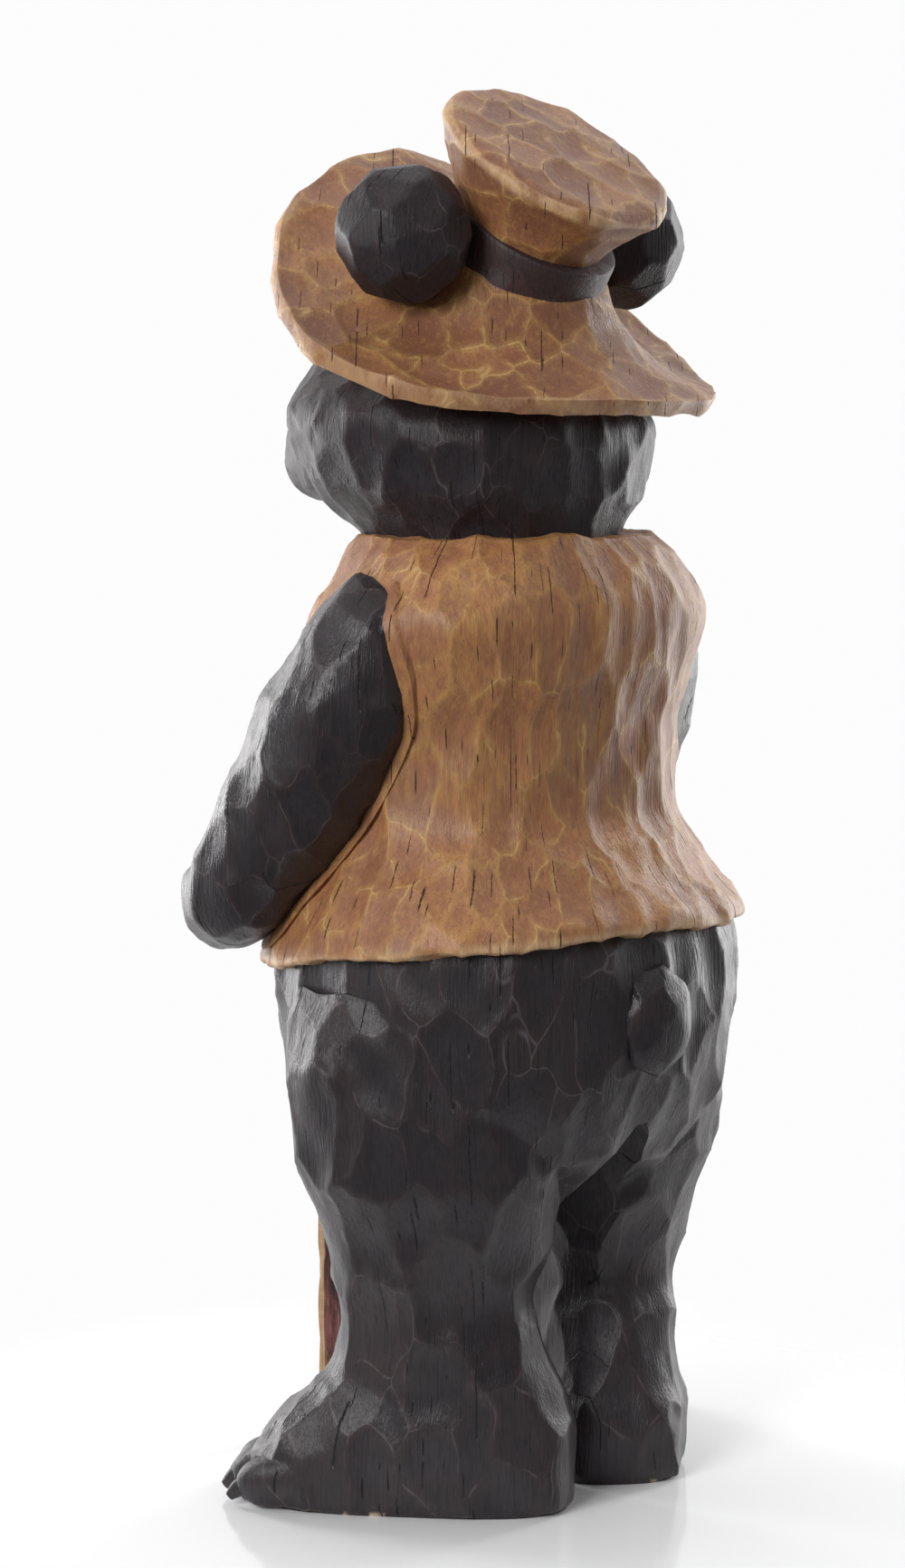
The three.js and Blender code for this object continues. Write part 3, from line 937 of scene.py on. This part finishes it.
def finishPiece(piece, node, edge=math.radians(50)):
    mesh = piece.data
    points = np.empty(len(mesh.vertices) * 3, np.float32)
    mesh.vertices.foreach_get("co", points)
    points[1::3] += rideShift * mm
    mesh.vertices.foreach_set("co", points)
    mesh.update()
    mesh.shade_smooth()
    mesh.set_sharp_from_angle(angle=edge)
    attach(piece, "root")
    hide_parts(node)
    return piece


mostTriangles = 196000
bear = thin(buildBear(), mostTriangles)
finishPiece(bear, "bear")
print("bear finished", len(bear.data.polygons))


def buildLog():
    post = makeObject("barkPost", logBody(-0.2, 1.6))
    post.data.materials.clear()
    post.data.materials.append(barkFinish())
    post.data.materials.append(sawnFinish())
    sawnEdge = (halfLog["face"] + halfLog["sawn"]) * mm
    for face in post.data.polygons:
        face.material_index = 1 if face.center.y < sawnEdge or abs(face.normal.z) > 0.6 else 0
    gouge(post, (9, 9, 34), -2.6, 0.9, floor=0.001)
    return post


barkPost = finishPiece(buildLog(), "bark_post")
print("half log finished")


# stage, light and camera

studio = {  # metres and radians
    "distance": 2.4125, "eyeHeight": 0.7074, "azimuth": math.radians(135),
    "pitch": math.atan(421 / 4089), "lens": 36 * 4089 / 1732, "aside": 0.0366,
    "backdrop": 0.98, "roomFront": 0.16, "roomBack": 1.15,
    "floorGlow": 0.03, "floorEdge": (0.2, 0.5),
}


def addCamera():
    data = bpy.data.cameras.new("camera")
    data.sensor_fit = "VERTICAL"
    data.sensor_height = 36
    data.lens = studio["lens"]
    camera = bpy.data.objects.new("camera", data)
    a, pitch = studio["azimuth"], studio["pitch"]
    right = np.array([math.cos(a), math.sin(a), 0])
    ahead = np.array([-math.sin(a), math.cos(a), 0])
    aim = np.array([0, rideShift * mm, studio["eyeHeight"]])
    camera.location = -studio["distance"] * ahead - studio["aside"] * right + aim
    camera.rotation_euler = (math.pi / 2 - pitch, 0, a)
    bpy.context.scene.collection.objects.link(camera)
    bpy.context.scene.camera = camera


# each lamp: place to the right, up and towards the camera, height aimed at, size, watts
lamps = {
    "leftBank": ((-1.35, 0.6, -1.0), 0.4, (0.4, 1.1), 19),
    "rightBank": ((1.3, 0.7, -1.2), 0.45, (0.4, 1.5), 17),
    "frontBank": ((-1.3, 1.5, 2.0), 0.72, (1.1, 1.1), 43),
    "topBank": ((0.2, 2.6, 0.2), 0.6, (1.6, 1.6), 6),
}


def addLight(name, place, target, size, power):
    data = bpy.data.lights.new(name, "AREA")
    data.shape = "RECTANGLE"
    data.size, data.size_y = size
    data.energy = power
    light = bpy.data.objects.new(name, data)
    light.location = place
    towards = np.array(target) - np.array(place)
    flat = math.hypot(towards[0], towards[1])
    heading = math.atan2(towards[1], towards[0])
    light.rotation_euler = (math.atan2(flat, -towards[2]), 0, heading - math.pi / 2)
    bpy.context.scene.collection.objects.link(light)


def fromCamera(right, up, near):
    # a place to the right of, above and in front of the figure as the camera sees it, in metres
    a = studio["azimuth"]
    x = math.cos(a) * right + math.sin(a) * near
    y = math.sin(a) * right - math.cos(a) * near
    return x, y, up


def lightRoom(tree):
    # a white sweep behind the figure, a dimmer room on the side where the camera stands
    a = studio["azimuth"]
    place = tree.nodes.new("ShaderNodeTexCoord")
    along = tree.nodes.new("ShaderNodeVectorMath")
    along.operation = "DOT_PRODUCT"
    along.inputs[1].default_value = (-math.sin(a), math.cos(a), 0)
    level = tree.nodes.new("ShaderNodeMapRange")
    level.interpolation_type = "SMOOTHSTEP"
    level.inputs["From Min"].default_value = -0.35
    level.inputs["From Max"].default_value = 0.65
    level.inputs["To Min"].default_value = studio["roomFront"]
    level.inputs["To Max"].default_value = studio["roomBack"]
    seen = tree.nodes.new("ShaderNodeLightPath")
    strength = tree.nodes.new("ShaderNodeMix")
    strength.inputs[3].default_value = studio["backdrop"]
    tree.links.new(place.outputs["Generated"], along.inputs[0])
    tree.links.new(along.outputs["Value"], level.inputs["Value"])
    tree.links.new(seen.outputs["Is Camera Ray"], strength.inputs[0])
    tree.links.new(level.outputs[0], strength.inputs[2])
    tree.links.new(strength.outputs[0], tree.nodes["Background"].inputs["Strength"])
    tree.nodes["Background"].inputs["Color"].default_value = (1, 1, 1, 1)


def addStage():
    mesh = bpy.data.meshes.new("floor")
    half = 9
    corners = [(-half, -half, 0), (half, -half, 0), (half, half, 0), (-half, half, 0)]
    mesh.from_pydata(corners, [], [(0, 1, 2, 3)])
    floor = bpy.data.objects.new("floor", mesh)
    bpy.context.scene.collection.objects.link(floor)
    finish = Finish("paleFloor")
    place = finish.node("ShaderNodeTexCoord", output=3)
    away = finish.node("ShaderNodeVectorMath", {"operation": "LENGTH"}, {0: place}, output=1)
    finish.feed(colour=(0.9, 0.9, 0.91, 1), roughness=0.1, ior=1.4,
                glow=(1, 1, 1, 1), glowStrength=studio["floorGlow"],
                alpha=1 - finish.rise(away, studio["floorEdge"][0], studio["floorEdge"][1]))
    mesh.materials.append(finish.material)
    for name, (place, aim, size, power) in lamps.items():
        addLight(name, fromCamera(*place), (0, 0, aim), size, power)
    world = bpy.data.worlds.new("studio")
    world.use_nodes = True
    lightRoom(world.node_tree)
    bpy.context.scene.world = world
    bpy.context.scene.view_settings.view_transform = "Standard"


addCamera()
addStage()
print("stage set")
